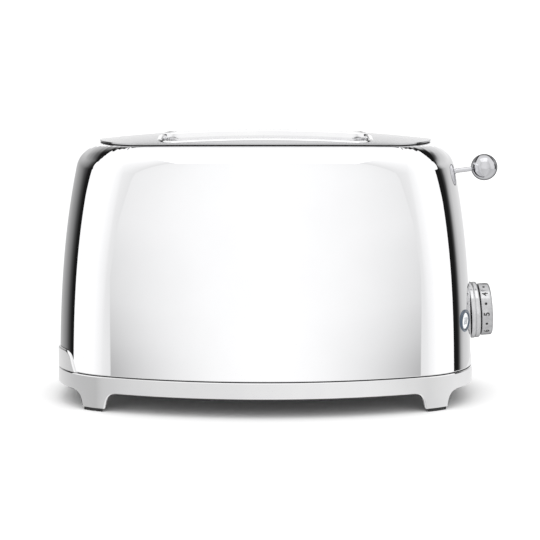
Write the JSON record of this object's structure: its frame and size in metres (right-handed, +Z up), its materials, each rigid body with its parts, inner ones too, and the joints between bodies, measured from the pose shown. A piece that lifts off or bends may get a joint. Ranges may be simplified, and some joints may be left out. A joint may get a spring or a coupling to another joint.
{
  "type": "two-slice toaster",
  "caption": "Polished metal toaster with two bread slots, side lever with ball end, browning dial, push buttons, hinged bread guards and slide-out crumb tray.",
  "frame": {"origin": "on the standing surface, under the middle of the whole reach from the crumb tray's front to the lever ball", "axes": "+X towards the lever end, -Y towards the front face, +Z up"},
  "size_m": [0.3288, 0.195, 0.1986],
  "materials": {
    "bright_shell": "mirror polished",
    "bright_trim": "mirror polished",
    "top_steel": "polished steel, seen grey",
    "bright_dial": "satin chrome",
    "dark_mark": "printed black",
    "button_white": "gloss",
    "button_dark": "dark, lit blue from behind",
    "dark_plastic": "matt",
    "dark_rubber": "matt",
    "inner_steel": "mill finish",
    "wire_steel": "bright wire",
    "mica": "mica board",
    "heater_wire": "resistance ribbon",
    "board_green": "coated board",
    "coil_copper": "wound coil and core"
  },
  "bodies": {
    "housing": {"outer_shell": "bright_shell", "shell_gasket": "dark_rubber", "top_plate": "top_steel", "plate_gasket": "dark_rubber", "slot_chute_front": "bright_trim", "slot_chute_rear": "bright_trim", "base_ring": "bright_trim", "foot_pads": "dark_rubber", "base_pan": "dark_plastic", "base_screws": "inner_steel", "end_plate_left": "inner_steel", "end_plate_right": "inner_steel", "reflector_front": "inner_steel", "reflector_rear": "inner_steel", "heater_card_1": "mica", "heater_card_2": "mica", "heater_card_3": "mica", "heater_card_4": "mica", "heater_ribbon_1": "heater_wire", "heater_ribbon_2": "heater_wire", "heater_ribbon_3": "heater_wire", "heater_ribbon_4": "heater_wire", "electromagnet": "coil_copper", "guide_rods": "wire_steel", "guide_bracket": "inner_steel", "lever_slot_liner": "dark_rubber", "dial_bezel": "bright_trim", "encoder_body": "inner_steel", "control_board": "board_green", "board_clips": "dark_plastic", "terminal_block": "dark_plastic", "tray_rails": "inner_steel", "cable_outlet": "dark_plastic", "button_ring_front": "button_dark", "button_ring_rear": "button_dark", "button_switch_front": "dark_plastic", "button_switch_rear": "dark_plastic", "return_springs": "wire_steel"},
    "carriage": {"carriage_yoke": "inner_steel", "carriage_bushings": "dark_plastic", "bread_rack_front": "inner_steel", "bread_rack_rear": "inner_steel", "lever_arm": "wire_steel", "lever_ball": "bright_trim", "catch_plate": "inner_steel"},
    "encoder_rotor": {"encoder_bush": "dark_plastic"},
    "dial": {"dial_shell": "bright_dial", "dial_face": "bright_dial", "dial_shaft": "inner_steel", "dial_marks": "dark_mark"},
    "front_button": {"button_cap_front": "button_white"},
    "rear_button": {"button_cap_rear": "button_white"},
    "tray": {"crumb_tray": "inner_steel", "tray_front": "bright_trim"},
    "guard_1": {"bread_guard_1": "wire_steel"},
    "guard_2": {"bread_guard_2": "wire_steel"},
    "guard_3": {"bread_guard_3": "wire_steel"},
    "guard_4": {"bread_guard_4": "wire_steel"}
  },
  "joints": [
    {"name": "lever_slide", "type": "slide", "parent": "housing", "child": "carriage", "axis": [0, 0, -1], "range_m": [0, 0.066], "stiffness_N_per_m": 60, "springref_m": -0.06, "deforming": ["return_springs"]},
    {"name": "dial_turn", "type": "hinge", "parent": "housing", "child": "encoder_rotor", "pos_m": [0.14358, 0, 0.0617], "axis": [0.9982, 0, 0.0593], "range_deg": [-138, 92]},
    {"name": "dial_push", "type": "slide", "parent": "encoder_rotor", "child": "dial", "axis": [-0.9982, 0, -0.0593], "range_m": [0, 0.0012], "stiffness_N_per_m": 2500, "springref_m": -0.0008},
    {"name": "front_button_push", "type": "slide", "parent": "housing", "child": "front_button", "axis": [-0.8829, 0.4695, 0], "range_m": [0, 0.0015], "stiffness_N_per_m": 900, "springref_m": -0.001},
    {"name": "rear_button_push", "type": "slide", "parent": "housing", "child": "rear_button", "axis": [-0.8829, -0.4695, 0], "range_m": [0, 0.0015], "stiffness_N_per_m": 900, "springref_m": -0.001},
    {"name": "tray_slide", "type": "slide", "parent": "housing", "child": "tray", "axis": [-1, 0, 0], "range_m": [0, 0.25]},
    {"name": "guard_swing_1", "type": "hinge", "parent": "housing", "child": "guard_1", "pos_m": [-0.00942, -0.0475, 0.048], "axis": [-1, 0, 0], "range_deg": [0, 4.4]},
    {"name": "guard_swing_2", "type": "hinge", "parent": "housing", "child": "guard_2", "pos_m": [-0.00942, -0.0175, 0.048], "axis": [1, 0, 0], "range_deg": [0, 4.4]},
    {"name": "guard_swing_3", "type": "hinge", "parent": "housing", "child": "guard_3", "pos_m": [-0.00942, 0.0175, 0.048], "axis": [-1, 0, 0], "range_deg": [0, 4.4]},
    {"name": "guard_swing_4", "type": "hinge", "parent": "housing", "child": "guard_4", "pos_m": [-0.00942, 0.0475, 0.048], "axis": [1, 0, 0], "range_deg": [0, 4.4]}
  ],
  "couplings": [
    {"joint": "guard_swing_1", "follows": "lever_slide", "rad_per_m": 1.1},
    {"joint": "guard_swing_2", "follows": "lever_slide", "rad_per_m": 1.1},
    {"joint": "guard_swing_3", "follows": "lever_slide", "rad_per_m": 1.1},
    {"joint": "guard_swing_4", "follows": "lever_slide", "rad_per_m": 1.1}
  ]
}
